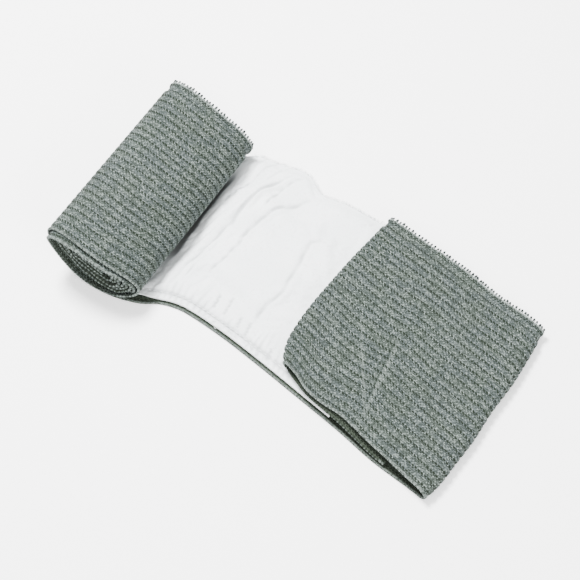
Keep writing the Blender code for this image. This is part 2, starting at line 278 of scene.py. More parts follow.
def strip_line():
    """The middle line: x, z, front y, back y, pull of roll, tail and tuck, turn, top layer."""
    rows = []

    def add(*columns):
        rows.append(join(*columns))

    def layer(x, z, column, top):
        share = np.clip((x - TUCK_FOLD_X) / TAIL_LENGTH, 0.0, 1.0)
        front = front_edge(x) + read_table(TAIL_EDGES, column, share) * STRIP_WIDTH
        tuck = (1 - ease(0.0, TUCK_PULL, share)) ** 2
        add(x, z, front, back_edge(x), 0.0, ease(TAIL_PULL_TOP, 1.0, share), tuck, LAPS, top)

    def fold(x, z, bend, start, end, tail, tuck, front, back, top):
        angle = np.linspace(start, end, 26)[1:-1]
        rise = np.linspace(*top, len(angle))
        x, z = x + bend * np.cos(angle), z + bend * np.sin(angle)
        add(x, z, front, back, 0.0, tail, tuck, LAPS, rise)

    x, z, turn = wound_laps()
    inside = 1 - ease(LAPS - STAGGER_FULL_TURN, LAPS - STAGGER_END_TURN, turn)
    shift = LAP_STAGGER * inside * (1 + np.sin(STAGGER_RHYTHM * turn))
    shift = shift - PEEKING_LAP * hump(turn - LAPS + PEEK_TURN, PEEK_SPREAD_TURN)
    add(x, z, front_edge(x) + shift, back_edge(x) + shift, 1.0, 0.0, 0.0, turn, 0.0)
    x = np.linspace(x[-1], TAIL_BEND_X, 260)[1:]
    share = x / OPEN_RUN
    skew = 1 - ease(0.0, SKEW_END, share)
    add(x, CLOTH / 2, front_edge(x), back_edge(x), skew, ease(TAIL_PULL, 1.0, share), 0.0, LAPS, 0.0)
    z = CLOTH / 2 + TAIL_FOLD_BEND
    edges = (front_edge(OPEN_RUN), back_edge(OPEN_RUN))
    fold(TAIL_BEND_X, z, TAIL_FOLD_BEND, -0.5 * math.pi, 0.5 * math.pi, 1.0, 0.0, *edges, (0.0, 1.0))
    x = np.linspace(TAIL_BEND_X, TUCK_BEND_X, 180)
    layer(x, tail_height(x), 1, 1.0)
    z = tucked_height(TUCK_BEND_X) + TUCK_FOLD_BEND
    edges = (front_edge(TUCK_FOLD_X) + TAIL_EDGES[0][1] * STRIP_WIDTH, back_edge(TUCK_FOLD_X))
    fold(TUCK_BEND_X, z, TUCK_FOLD_BEND, 0.5 * math.pi, 1.5 * math.pi, 0.0, 1.0, *edges, (1.0, 0.0))
    x = np.linspace(TUCK_BEND_X, TUCK_FOLD_X + TUCKED_LENGTH, 130)
    layer(x, tucked_height(x), 2, 0.0)
    return np.concatenate(rows)


STATION_TURN = 0.30


def space_out(line, start, end, finest, coarsest):
    """Stations between two lengths along the line, closer together where it bends more."""
    step = step_lengths(line)
    length = running(step)
    heading = np.unwrap(np.arctan2(np.gradient(line[:, 1], length), np.gradient(line[:, 0], length)))
    bend = np.abs(np.gradient(heading, length))
    bend = np.convolve(bend, np.ones(9) / 9, mode="same")
    spacing = np.clip(STATION_TURN / np.maximum(bend, 1e-6), finest, coarsest)
    count = running(step / spacing[1:])
    inside = np.interp([start, end], length, count)
    ticks = np.linspace(*inside, int(inside[1] - inside[0]) + 2)
    at = np.interp(ticks, count, length)
    return at, read_line(at, length, line)


def cloth_middle(stations, width_at):
    """Middle surface of the strip, and its normals, at the given stations and places across."""
    x, z, front, back, roll, tail, tuck, _turn, _top = (stations[:, i : i + 1] for i in range(9))
    across = width_at / STRIP_WIDTH
    y = front + (back - front) * across
    wander = -math.tan(ROLL_SKEW) * (y - MID_WIDTH) * roll
    wander = wander + read_table(FOLD_LINES, 1, across) * STRIP_WIDTH * tail
    wander = wander + read_table(FOLD_LINES, 2, across) * STRIP_WIDTH * tuck
    middle = join(x + wander, y, z)
    normal = np.cross(np.gradient(middle, axis=0), np.gradient(middle, axis=1))
    return middle, unit(normal)


def crest(width_at):
    """1 on top of a rib, 0 in the groove beside it."""
    place = (width_at - FIRST_GROOVE) / RIB + 0.5
    off = np.abs(place - np.floor(place) - 0.5)
    return ease(0.02, 0.23, off) * (0.86 + 0.14 * np.sin(math.pi * off))


def slack(stations, middle):
    """How the loose top layer of the tail lifts: low waves, and one old fold line across it."""
    top = stations[:, 8:9]
    x, y = middle[:, :, 0], middle[:, :, 1]
    waves = 0.5 + 0.5 * np.sin(x / 0.0095 + 1.7 * np.sin(y / 0.021))
    waves = waves * (0.5 + 0.5 * np.sin(y / 0.014 + 0.8))
    line = FOLD_LINE_X - FOLD_LINE_LEAN * (y - FOLD_LINE_Y)
    lip = hump(x - line - FOLD_LIP_AT, FOLD_LIP_WIDTH)
    fold = hump(x - line, FOLD_LINE_WIDTH)
    return top * (SLACK_RISE * waves + FOLD_LIP_RISE * lip - FOLD_LINE_DEPTH * fold)


def half_thickness(width_at, groove):
    """Half the cloth's thickness: thinner in the grooves, and a round bead at each selvedge."""
    half = CLOTH / 2 - groove * (1 - crest(width_at))
    from_edge = np.minimum(width_at, STRIP_WIDTH - width_at)
    bead = SELVEDGE_ROUND**2 - (from_edge - SELVEDGE_ROUND) ** 2
    bead = np.sqrt(np.maximum(bead, SELVEDGE_THIN**2))
    half = np.where(from_edge < 2 * SELVEDGE_ROUND, np.maximum(bead, half), half)
    return np.where(from_edge < SELVEDGE_ROUND, bead, half)


EDGE_PLACES = np.array([0, 0.08, 0.25, 0.45, 0.62, 0.85, 1.15, 1.5]) * MM
EDGE_CLEAR = 1.8 * MM


def places_across(per_rib):
    """Places across the strip: close together at its selvedges, and even over its ribs."""
    ribs = int((STRIP_WIDTH - 2 * FIRST_GROOVE) / RIB)
    inner = FIRST_GROOVE + RIB * np.arange(0, ribs + 1e-6, 1 / per_rib)
    inner = inner[inner < STRIP_WIDTH - EDGE_CLEAR]
    return np.concatenate([EDGE_PLACES, inner, STRIP_WIDTH - EDGE_PLACES[::-1]])


def thin_out(count, step):
    """Every few columns of a grid, and always its last."""
    return np.unique(np.append(np.arange(0, count, step), count - 1))


def grid_quads(index):
    corners = [index[:-1, :-1], index[1:, :-1], index[1:, 1:], index[:-1, 1:]]
    return np.stack(corners, axis=-1).reshape(-1, 4)


def add_object(name, data):
    piece = bpy.data.objects.new(name, data)
    bpy.context.scene.collection.objects.link(piece)
    return piece


def write_values(piece, name, values):
    attribute = piece.data.attributes.new(name, "FLOAT", "POINT")
    attribute.data.foreach_set("value", values.ravel().astype(np.float32))


def close_cloth(name, outer, inner, picked, outer_uv, inner_uv):
    """One closed cloth between an outer grid and an inner grid on some of its columns."""
    rows, columns = outer.shape[:2]
    a = np.arange(rows * columns).reshape(rows, columns)
    b = rows * columns + np.arange(rows * len(picked)).reshape(rows, len(picked))
    rims = []
    for side in (0, -1):
        rims.append(np.stack([a[:-1, side], a[1:, side], b[1:, side], b[:-1, side]], axis=1))
    faces = np.concatenate([grid_quads(a), grid_quads(b)[:, ::-1], *rims]).tolist()
    for row in (0, -1):
        for k in range(len(picked) - 1):
            near = a[row, picked[k] : picked[k + 1] + 1][::-1]
            faces.append([int(v) for v in (b[row, k], b[row, k + 1], *near)])
    mesh = bpy.data.meshes.new(name)
    mesh.from_pydata(np.concatenate([outer.reshape(-1, 3), inner.reshape(-1, 3)]), [], faces)
    mesh.update()
    corner = np.zeros(len(mesh.loops), dtype=np.int32)
    mesh.loops.foreach_get("vertex_index", corner)
    uv = np.concatenate([outer_uv.reshape(-1, 2), inner_uv.reshape(-1, 2)])
    layer = mesh.uv_layers.new(name="cloth_metres")
    layer.data.foreach_set("uv", uv[corner].astype(np.float32).ravel())
    bm = bmesh.new()
    bm.from_mesh(mesh)
    bmesh.ops.recalc_face_normals(bm, faces=bm.faces)
    bm.to_mesh(mesh)
    bm.free()
    mesh.shade_smooth()
    return add_object(name, mesh)


strip = strip_line()
strip_length = running(step_lengths(strip))
FULL_LENGTH = strip_length[-1]
OPEN_START = np.interp(LAPS - SPLIT_TURN, strip[: LAPS * 360, 7], strip_length[: LAPS * 360])

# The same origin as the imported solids: under the middle of the strip's box, on the floor
plain_middle, plain_normal = cloth_middle(strip, np.linspace(0, STRIP_WIDTH, 9)[None, :])
plain_half = plain_normal * CLOTH / 2
plain_faces = np.concatenate([plain_middle + plain_half, plain_middle - plain_half])
cad_low, cad_high = (np.array(corner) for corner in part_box("elastic_bandage"))
ORIGIN = (plain_faces.min(axis=(0, 1)) + plain_faces.max(axis=(0, 1))) / 2 - (cad_low + cad_high) / 2
ORIGIN[2] = 0.0

# The lowest cloth is the open run, and the rest of the strip lies above this height
LOW_CLOTH = 3 * MM
# How pale the selvedge's cord shows: held back as painted shade on the inner laps and where it is
# covered, and full in the open and on the run
CORD_TONE_INNER, CORD_TONE_COVERED, CORD_TONE_OPEN, CORD_TONE_RUN = 0.12, 0.05, 0.65, 0.60
# How dull the inner face is: on the inner laps, on the loose lap, and on the rest
DULL_INNER, DULL_LOOSE, DULL_REST = 0.85, 0.45, 1.0
LOOSE_LAP_END_TURN = 0.15


def lay_strip(name, start, end, finest, coarsest, per_rib):
    """One piece of the strip, between two lengths along it."""
    at, stations = space_out(strip, start, end, finest, coarsest)
    width_at = places_across(per_rib)
    # The inner laps were wound a little unevenly, so their edges don't line up
    inside = ease(LAPS - STAGGER_END_TURN, LAPS - STAGGER_FULL_TURN, stations[:, 7])
    uneven = UNEVEN_LAPS * np.sin(at / 0.0043) * np.sin(at / 0.0119 + 1)
    uneven = uneven + UNEVEN_PICKS * np.sin(at / 0.0017)
    stations[:, 2:4] += (inside * uneven)[:, None]
    middle, normal = cloth_middle(stations, width_at[None, :])
    middle[:, :, 2] += slack(stations, middle)
    turn, height, top = stations[:, 7], stations[:, 1], stations[:, 8]
    inner_laps = turn < LAPS - SPLIT_TURN
    run = (turn >= LAPS) & (height <= LOW_CLOTH) & (top < 0.5)
    tucked = (turn >= LAPS) & (height > LOW_CLOTH) & (top < 0.5)
    # Where the cloth isn't pressed flat, its ribs stand up to their full height
    free = np.where(tucked, 0.0, ease(1.5 * MM, 4.0 * MM, height))[:, None]
    proud = RIB_RISE * free * (2 * crest(width_at) - 1)[None, :]
    outer = middle - normal * (half_thickness(width_at, GROOVE_DEPTH) + proud)[:, :, None] - ORIGIN
    inner = middle + normal * half_thickness(width_at, GROOVE_DEPTH / 3)[None, :, None] - ORIGIN
    picked = thin_out(len(width_at), 2)
    uv = join(at[:, None], width_at[None, :])
    piece = close_cloth(name, outer, inner[:, picked], picked, uv, uv[:, picked])
    # The selvedge's pale cord shows on the outer face in the open and on the run's upper face; on
    # the inner laps, the tucked layer and the run's rims it is kept dark as painted shade
    on_rim = (picked == picked[0]) | (picked == picked[-1])
    tone = np.where(inner_laps, CORD_TONE_INNER, np.where(tucked | run, CORD_TONE_COVERED, CORD_TONE_OPEN))
    inner_tone = tone[:, None] * np.where(on_rim, 1.0, 0.1)
    inner_tone = np.where(run[:, None], CORD_TONE_RUN * ~on_rim, inner_tone)
    tone = np.concatenate([np.repeat(tone, len(width_at)), inner_tone.ravel()])
    write_values(piece, "edge_tone", tone)
    # The inner face is duller, most of all where it lies under the pad and in the tail; the run's
    # rims and the bottom of its selvedges get the same dark as painted shade
    dull_and_rim_shade = np.where(turn < LAPS - LOOSE_LAP_END_TURN, DULL_LOOSE, DULL_REST)
    dull_and_rim_shade = np.where(inner_laps, DULL_INNER, dull_and_rim_shade)[:, None]
    dull_and_rim_shade = np.where(on_rim, 1.0 * run[:, None], dull_and_rim_shade)
    run_edge_shade = run[:, None] * (np.minimum(width_at, STRIP_WIDTH - width_at) < 0.3 * MM)
    write_values(piece, "back_side", np.concatenate([run_edge_shade.ravel(), dull_and_rim_shade.ravel()]))
    return piece


rolled_laps = lay_strip("rolled_laps", 0.0, OPEN_START, 1.5 * MM, 5 * MM, 1)
open_strip = lay_strip("open_strip", OPEN_START, FULL_LENGTH, 1.2 * MM, 2.0 * MM, 5)

# The strip's weave: grey-green yarn with dark floats in zigzag rows along the grooves between its
# ribs, and flecks of pale and dark fibre over the whole. Measures are in picks and in ribs.
ROWS_PER_RIB = 4.0
FLOAT_HALF_LENGTH = 0.42
FLOAT_HALF_HEIGHT = 0.52
FLOAT_SLANT = 0.35
SHAKE_ALONG = 0.30
SHAKE_ACROSS = 0.08
SPECKS_PER_PICK = 2.7
SPECKS_PER_RIB = 5.6
SPECK_SLANT = 1.5


def add_node(tree, kind, inputs=(), **settings):
    """A node with its settings, and its inputs set to values or fed by sockets or other nodes."""
    node = tree.nodes.new(kind)
    for key, value in settings.items():
        setattr(node, key, value)
    for socket, value in dict(inputs).items():
        if isinstance(value, bpy.types.Node):
            value = value.outputs[0]
        if isinstance(value, bpy.types.NodeSocket):
            tree.links.new(value, node.inputs[socket])
        else:
            node.inputs[socket].default_value = value
    return node


def add_math(tree, operation, *values):
    return add_node(tree, "ShaderNodeMath", enumerate(values), operation=operation).outputs[0]


def add_mix(tree, share, first, second):
    colours = {0: share, 6: first, 7: second}
    return add_node(tree, "ShaderNodeMix", colours, data_type="RGBA").outputs[2]


def add_ramp(tree, value, low, high):
    """0 at low, 1 at high, smooth between them."""
    span = {"Value": value, "From Min": low, "From Max": high}
    return add_node(tree, "ShaderNodeMapRange", span, interpolation_type="SMOOTHSTEP").outputs[0]


def shorthands(tree):
    """Short names for what most nodes do: sums, products, products with a sum, mixes and ramps."""
    calc = partial(add_math, tree)
    mix, ramp = partial(add_mix, tree), partial(add_ramp, tree)
    return calc, partial(calc, "MULTIPLY"), partial(calc, "MULTIPLY_ADD"), mix, ramp


def add_pair(tree, first, second):
    return add_node(tree, "ShaderNodeCombineXYZ", {0: first, 1: second}).outputs[0]


def add_noise(tree, first, second, detail):
    given = {"Vector": add_pair(tree, first, second), "Scale": 1.0, "Detail": detail}
    return add_node(tree, "ShaderNodeTexNoise", given, noise_dimensions="2D")


def add_sockets(tree, in_out, kind, *names):
    for name in names:
        tree.interface.new_socket(name, in_out=in_out, socket_type="NodeSocket" + kind)


def make_weave_group():
    """Places on the strip in metres to the dark zigzag rows, the yarn's speckle and the height."""
    tree = bpy.data.node_groups.new("elastic_weave", "ShaderNodeTree")
    results = ("Fleck", "Dark Speck", "Light Speck", "Pick Wave", "Cloud", "Height")
    add_sockets(tree, "INPUT", "Float", "Along", "Across", "Rib", "Pick", "First Groove")
    add_sockets(tree, "OUTPUT", "Float", *results)
    given = tree.nodes.new("NodeGroupInput").outputs
    calc, times, times_add, _, ramp = shorthands(tree)
    u = calc("DIVIDE", given["Along"], given["Pick"])
    v = calc("DIVIDE", calc("SUBTRACT", given["Across"], given["First Groove"]), given["Rib"])
    # Each thread lies a little out of line
    loose = add_noise(tree, times(u, 0.5), times(v, 1.5), 2.0)
    shake = add_node(tree, "ShaderNodeSeparateColor", {0: loose.outputs[1]}).outputs
    u_at = times_add(calc("SUBTRACT", shake[0], 0.5), SHAKE_ALONG, u)
    v_at = times_add(calc("SUBTRACT", shake[1], 0.5), SHAKE_ACROSS, v)
    # Rows of floats along the rib, each set off by half a pick from the row before
    rows = times(v_at, ROWS_PER_RIB)
    row = calc("FLOOR", rows)
    odd = calc("FLOORED_MODULO", row, 2.0)
    y = calc("SUBTRACT", calc("FRACT", rows), 0.5)
    slant = times(y, times_add(odd, 2 * FLOAT_SLANT, -FLOAT_SLANT))
    u_row = calc("ADD", times_add(odd, 0.5, u_at), slant)
    x = calc("SUBTRACT", calc("FRACT", u_row), 0.5)
    wide = calc("POWER", calc("DIVIDE", x, FLOAT_HALF_LENGTH), 2.0)
    tall = calc("POWER", calc("DIVIDE", y, FLOAT_HALF_HEIGHT), 2.0)
    float_shape = ramp(calc("ADD", wide, tall), 1.15, 0.75)
    # The floats beside a groove are the darkest, and no two are quite alike
    from_groove = calc("SUBTRACT", calc("FRACT", calc("ADD", v_at, 0.5)), 0.5)
    dark_row = times_add(ramp(calc("ABSOLUTE", from_groove), 0.20, 0.13), 0.66, 0.50)
    lot = {"Vector": add_pair(tree, calc("FLOOR", u_row), row)}
    lot = add_node(tree, "ShaderNodeTexWhiteNoise", lot, noise_dimensions="2D").outputs[0]
    lucky = times_add(lot, 0.30, 0.90)
    fleck = times(float_shape, times(dark_row, lucky))
    fleck.node.use_clamp = True
    wave = calc("COSINE", times(u_at, 2 * math.pi))
    wave = times_add(wave, 0.5, 0.5)
    # Flecks of fibre: each cell holds a pale spot, a dark one or none
    along = times_add(u, SPECKS_PER_PICK, times(v, SPECK_SLANT))
    across = times(v, SPECKS_PER_RIB)
    cells = {"Vector": add_pair(tree, along, across), "Scale": 1.0, "Randomness": 0.8}
    cells = add_node(tree, "ShaderNodeTexVoronoi", cells, voronoi_dimensions="2D").outputs
    spot = ramp(cells["Distance"], 0.58, 0.28)
    kind = add_node(tree, "ShaderNodeSeparateColor", {0: cells["Color"]}).outputs[0]
    dark = times(spot, ramp(kind, 0.44, 0.58))
    light = times(spot, ramp(kind, 0.40, 0.10))
    along, across = times(given["Along"], 90.0), times(given["Across"], 150.0)
    cloud = add_noise(tree, along, across, 3.0).outputs[0]
    height = calc("SUBTRACT", times(light, 0.4), times(dark, 0.4))
    height = calc("SUBTRACT", height, fleck)
    made = zip(results, (fleck, dark, light, wave, cloud, height))
    add_node(tree, "NodeGroupOutput", made)
    return tree


weave_group = make_weave_group()

GREY_YARN = (0.064, 0.079, 0.070, 1)
COOL_YARN = (0.061, 0.075, 0.075, 1)
BACK_YARN_AND_SHADE = (0.030, 0.037, 0.026, 1)
OLIVE_YARN = (0.0045, 0.0080, 0.0035, 1)
DARK_YARN = (0.010, 0.015, 0.011, 1)
PALE_YARN = (0.225, 0.262, 0.243, 1)


def start_material(name, finish):
    material = bpy.data.materials.new(name)
    material.use_nodes = True
    shader = material.node_tree.nodes["Principled BSDF"]
    for key, value in finish.items():
        shader.inputs[key].default_value = value
    return material, material.node_tree, shader


def add_bump(tree, shader, height, strength, distance):
    relief = {"Height": height, "Strength": strength, "Distance": distance}
    tree.links.new(add_node(tree, "ShaderNodeBump", relief).outputs[0], shader.inputs["Normal"])


def read_values(tree, name):
    return add_node(tree, "ShaderNodeAttribute", attribute_name=name).outputs["Fac"]


# How far along the strip the old fold line crosses, and how far across it
top_rows = strip[:, 8] == 1
FOLD_LINE_ALONG = float(np.interp(-FOLD_LINE_X, -strip[top_rows, 0], strip_length[top_rows]))
FOLD_LINE_ACROSS = float(FOLD_LINE_Y - front_edge(FOLD_LINE_X))
# A second, paler streak runs out from the same place at a stronger lean
STREAK_LEAN = 0.80


def make_cloth_material():
    finish = {"Roughness": 0.95, "Specular IOR Level": 0.2}
    material, tree, shader = start_material("ribbed_elastic_cloth", finish)
    calc, times, times_add, mix, ramp = shorthands(tree)
    uv = add_node(tree, "ShaderNodeUVMap", uv_map="cloth_metres").outputs[0]
    along, across, _ = add_node(tree, "ShaderNodeSeparateXYZ", {0: uv}).outputs
    given = {"Along": along, "Across": across, "Rib": RIB, "Pick": PICK}
    given["First Groove"] = FIRST_GROOVE
    weave = add_node(tree, "ShaderNodeGroup", given, node_tree=weave_group).outputs
    colour = mix(ramp(weave["Cloud"], 0.35, 0.65), GREY_YARN, COOL_YARN)
    colour = mix(times(weave["Light Speck"], 0.75), colour, PALE_YARN)
    # the duller back face, and painted shade along the run's rims and bottom edge
    colour = mix(times(read_values(tree, "back_side"), 0.90), colour, BACK_YARN_AND_SHADE)
    # Both selvedges are paler, the front one as far as edge_tone lets it, which holds it dark as
    # painted shade in the roll's laps and the tucked layer; gaps show between their picks
    tone = read_values(tree, "edge_tone")
    edge = ramp(across, 1.10 * MM, 0.75 * MM)
    far_edge = ramp(across, STRIP_WIDTH - 1.3 * MM, STRIP_WIDTH - 0.5 * MM)
    colour = mix(times(edge, tone), colour, PALE_YARN)
    colour = mix(times(far_edge, 0.6), colour, PALE_YARN)
    colour = mix(times(weave["Dark Speck"], 0.85), colour, DARK_YARN)
    gaps = times(ramp(weave["Pick Wave"], 0.45, 0.85), edge)
    open_gaps = times(gaps, times_add(tone, -0.6, 1.0))
    # Old fold line across the tail: its crease painted dark as shade, its raised lip painted pale as
    # a highlight, and a paler streak beside it
    past_fold = calc("SUBTRACT", along, FOLD_LINE_ALONG)
    from_fold = calc("SUBTRACT", across, FOLD_LINE_ACROSS)
    fades = times(ramp(from_fold, -0.010, 0.0), ramp(from_fold, 0.046, 0.024))
    crease_off = times_add(from_fold, -FOLD_LINE_LEAN, past_fold)
    streak_off = times_add(from_fold, -STREAK_LEAN, past_fold)
    lip = ramp(calc("ABSOLUTE", calc("ADD", crease_off, 1.7 * MM)), 1.5 * MM, 0.4 * MM)
    streak = ramp(calc("ABSOLUTE", streak_off), 1.4 * MM, 0.2 * MM)
    lip_highlight_and_streak = times(calc("MAXIMUM", lip, streak), fades)
    colour = mix(times(lip_highlight_and_streak, 0.30), colour, PALE_YARN)
    # painted shade along the crease of the fold line
    crease_shade = times(ramp(calc("ABSOLUTE", crease_off), 0.7 * MM, 0.1 * MM), fades)
    colour = mix(times(crease_shade, 0.55), colour, DARK_YARN)
    dark = calc("MAXIMUM", weave["Fleck"], open_gaps)
    dark = times(dark, times_add(far_edge, -0.7, 1.0))
    colour = mix(times(dark, 0.95), colour, OLIVE_YARN)
    tree.links.new(colour, shader.inputs["Base Color"])
    add_bump(tree, shader, weave["Height"], 0.6, 0.22 * MM)
    return material


cloth_material = make_cloth_material()
for piece in (rolled_laps, open_strip):
    piece.data.materials.append(cloth_material)
    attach(piece, "root")
    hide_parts("elastic_bandage")

# The looped picks along the strip's far edge: each pale weft thread turns back in a small loop,
# and a dark elastic end is caught in the tip of each loop. Bare threads, held by the weave alone.
LOOP_LENGTH = 0.00185
LOOP_WIDTH = 0.00090
LOOP_THREAD = 0.00029
LOOP_OUT = 0.42
TIP_RADIUS = 0.00060
TIP_STRETCH = 1.45
TIP_OUT = 0.72
LOOP_FLOOR_CLEAR = 0.85 * MM


def make_repeat_tree(name, shape):
    """A small thread shape set on each point of a guide, along its aim and facing its face."""
    tree = bpy.data.node_groups.new(name, "GeometryNodeTree")
    add_sockets(tree, "INPUT", "Geometry", "Geometry")
    add_sockets(tree, "INPUT", "Float", "Length", "Width", "Thread", "Spread", "Size Change")
    add_sockets(tree, "INPUT", "Int", "Seed")
    add_sockets(tree, "INPUT", "Material", "Material")
    add_sockets(tree, "OUTPUT", "Geometry", "Geometry")
    given = tree.nodes.new("NodeGroupInput").outputs
    length, width, thread, seed = (given[kind] for kind in ("Length", "Width", "Thread", "Seed"))
    add = partial(add_node, tree)
    calc, times, *_ = shorthands(tree)
    if shape == "tip":
        size = add("ShaderNodeCombineXYZ", {0: thread, 1: times(thread, TIP_STRETCH), 2: thread})
    else:
        high = 0.0 if shape == "loop" else thread
        size = add("ShaderNodeCombineXYZ", {0: width, 1: length, 2: high})
        size = add("ShaderNodeVectorMath", {0: size, 1: (0.5, 0.5, 0.5)}, operation="MULTIPLY")
    if shape == "loop":
        one = add("GeometryNodeCurvePrimitiveCircle", {"Resolution": 9, "Radius": 1.0})
    else:
        one = add("GeometryNodeMeshUVSphere", {"Segments": 6, "Rings": 4, "Radius": 1.0})
    out = {"loop": LOOP_OUT, "tip": TIP_OUT, "stitch": 0.0}[shape]
    move = add("ShaderNodeCombineXYZ", {1: times(length, out)})
    one = add("GeometryNodeTransform", {"Geometry": one, "Translation": move, "Scale": size})
    if shape == "loop":
        profile = add("GeometryNodeCurvePrimitiveCircle", {"Resolution": 4, "Radius": thread})
        one = add("GeometryNodeCurveToMesh", {"Curve": one, "Profile Curve": profile})
    # Turned along its aim and to its face, then a little astray
    aim, up = (
        add("GeometryNodeInputNamedAttribute", {"Name": vector}, data_type="FLOAT_VECTOR")
        for vector in ("aim", "face")
    )
    turn = {"Vector": aim.outputs["Attribute"]}
    turn = add("FunctionNodeAlignRotationToVector", turn, axis="Y")
    roll = {"Rotation": turn, "Vector": up.outputs["Attribute"]}
    roll = add("FunctionNodeAlignRotationToVector", roll, axis="Z", pivot_axis="Y")
    spread = {0: times(given["Spread"], -1.0), 1: given["Spread"], "Seed": seed}
    chance = add("FunctionNodeRandomValue", spread, data_type="FLOAT_VECTOR")
    swing = add("FunctionNodeEulerToRotation", {0: chance})
    loose = {"Rotation": roll, "Rotate By": swing}
    loose = add("FunctionNodeRotateRotation", loose, rotation_space="LOCAL")
    least, most = (calc(kind, 1.0, given["Size Change"]) for kind in ("SUBTRACT", "ADD"))
    change = {2: least, 3: most, "Seed": seed}
    change = add("FunctionNodeRandomValue", change, data_type="FLOAT").outputs[1]
    points = {"Points": given["Geometry"], "Instance": one, "Rotation": loose, "Scale": change}
    real = add("GeometryNodeRealizeInstances", {0: add("GeometryNodeInstanceOnPoints", points)})
    dress = {"Geometry": real, "Material": given["Material"]}
    add("NodeGroupOutput", {0: add("GeometryNodeSetMaterial", dress)})
    return tree


def repeat_on(name, tree, points, aims, faces, **sizes):
    """Runs the tree on a guide of points and keeps the result as a plain mesh."""
    guide = bpy.data.meshes.new(name + "_guide")
    guide.from_pydata(points.tolist(), [], [])
    for attribute, vectors in (("aim", aims), ("face", faces)):
        layer = guide.attributes.new(attribute, "FLOAT_VECTOR", "POINT")
        layer.data.foreach_set("vector", vectors.astype(np.float32).ravel())
    piece = add_object(name, guide)
    modifier = piece.modifiers.new("repeat", "NODES")
    modifier.node_group = tree
    for item in tree.interface.items_tree:
        size = item.name.replace(" ", "_")
        if item.in_out == "INPUT" and size in sizes:
            modifier[item.identifier] = sizes[size]
    view = bpy.context.evaluated_depsgraph_get()
    made = bpy.data.meshes.new_from_object(piece.evaluated_get(view))
    piece.modifiers.clear()
    piece.data = made
    made.name = name
    made.shade_smooth()
    return piece


def add_texture(tree, kind, scale, **more):
    """How strong a texture through the object's own space is."""
    where = tree.nodes.new("ShaderNodeTexCoord").outputs["Object"]
    given = {"Vector": where, "Scale": scale, **more}
    return add_node(tree, "ShaderNodeTex" + kind, given).outputs["Fac"]


def make_thread_material(name, first, second, scale):
    """Twisted yarn: fine slanting bands, and a change of tone from thread to thread."""
    finish = {"Roughness": 0.9, "Specular IOR Level": 0.2}
    material, tree, shader = start_material(name, finish)
    _, _, times_add, mix, ramp = shorthands(tree)
    twist = add_texture(tree, "Wave", scale, Distortion=1.5)
    twist.node.bands_direction = "DIAGONAL"
    share = times_add(twist, 0.4, ramp(add_texture(tree, "Noise", 500.0), 0.35, 0.65))
    share.node.use_clamp = True
    tree.links.new(mix(share, first, second), shader.inputs["Base Color"])
    add_bump(tree, shader, twist, 0.5, 0.05 * MM)
    return material


def edge_picks(start, end):
    """Places of the weft picks at the far edge, where each points out, and what it faces."""
    at = np.arange(start, end, PICK)
    stations = read_line(at, strip_length, strip)
    width_at = STRIP_WIDTH - np.array([[1.6, 0.8, 0.2]]) * MM
    middle, normal = cloth_middle(stations, width_at)
    middle[:, :, 2] += slack(stations, middle)
    aim = unit(middle[:, 2] - middle[:, 0])
    middle[:, 2, 2] = np.maximum(middle[:, 2, 2], LOOP_FLOOR_CLEAR)
    return middle[:, 2] - ORIGIN, aim, normal[:, 2], stations


PALE_WEFT = (0.09, 0.105, 0.10, 1), (0.27, 0.30, 0.29, 1)
DARK_ELASTIC = (0.006, 0.009, 0.008, 1), (0.022, 0.028, 0.027, 1)
loop_tree = make_repeat_tree("thread_loops", "loop")
tip_tree = make_repeat_tree("thread_tips", "tip")
pale_thread = make_thread_material("pale_weft", *PALE_WEFT, 900.0)
dark_thread = make_thread_material("dark_elastic", *DARK_ELASTIC, 900.0)
points, aims, faces, stations = edge_picks(0.6 * PICK, FULL_LENGTH - 0.3 * PICK)
# The pad hides the picks of the run that lies under it
on_run = (stations[:, 8] == 0) & (stations[:, 7] == LAPS) & (stations[:, 1] < 1 * MM)
shown = ~(on_run & (stations[:, 0] > -1 * MM) & (stations[:, 0] < TUCK_FOLD_X))
guide = points[shown], aims[shown], faces[shown]
loops = dict(Length=LOOP_LENGTH, Width=LOOP_WIDTH, Spread=0.22, Size_Change=0.14, Seed=11)
edge_loops = repeat_on(
    "edge_loops", loop_tree, *guide, Thread=LOOP_THREAD, Material=pale_thread, **loops
)
loop_tips = repeat_on(
    "loop_tips", tip_tree, *guide, Thread=TIP_RADIUS, Material=dark_thread, **loops
)
for piece in (edge_loops, loop_tips):
    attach(piece, "root")
    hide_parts("elastic_bandage")

# The dressing pad: a white non-woven cover over soft filling, sewn to the strip along its borders.
# It is pressed flat under the roll's nose, puffs up in the open and runs on under the tucked layer.
# Its top is let go as cloth between the seams, then creased where the photographed cover is.
PAD_BORDER_THICKNESS = 0.0016
PAD_SETBACK = 0.0020
SEAM_INSET = 0.0034
# Its front and far corners are drawn back beside the roll, whose weight presses the pad down
FRONT_CORNER_DRAW = 2.8 * MM
FAR_CORNER_DRAW = 3.0 * MM
ROLL_WEIGHT = 0.62
ROLL_WEIGHT_FAR = 0.17
SWELL_FADE = 0.2
# Broad swells of the filling: across from and to, along at each, bow, height share, spread
PAD_SWELLS = (
    (0.04, 0.97, 0.120, 0.235, -0.020, 0.22, 0.022),
    (0.05, 0.98, 0.160, 0.300, -0.040, -0.17, 0.018),
    (0.08, 0.97, 0.200, 0.335, -0.030, 0.16, 0.026),
    (0.18, 0.95, 0.240, 0.386, -0.020, -0.14, 0.022),
    (0.10, 0.90, 0.400, 0.470, 0.000, 0.07, 0.070),
    (0.05, 0.76, 0.545, 0.525, -0.020, -0.12, 0.030),
)
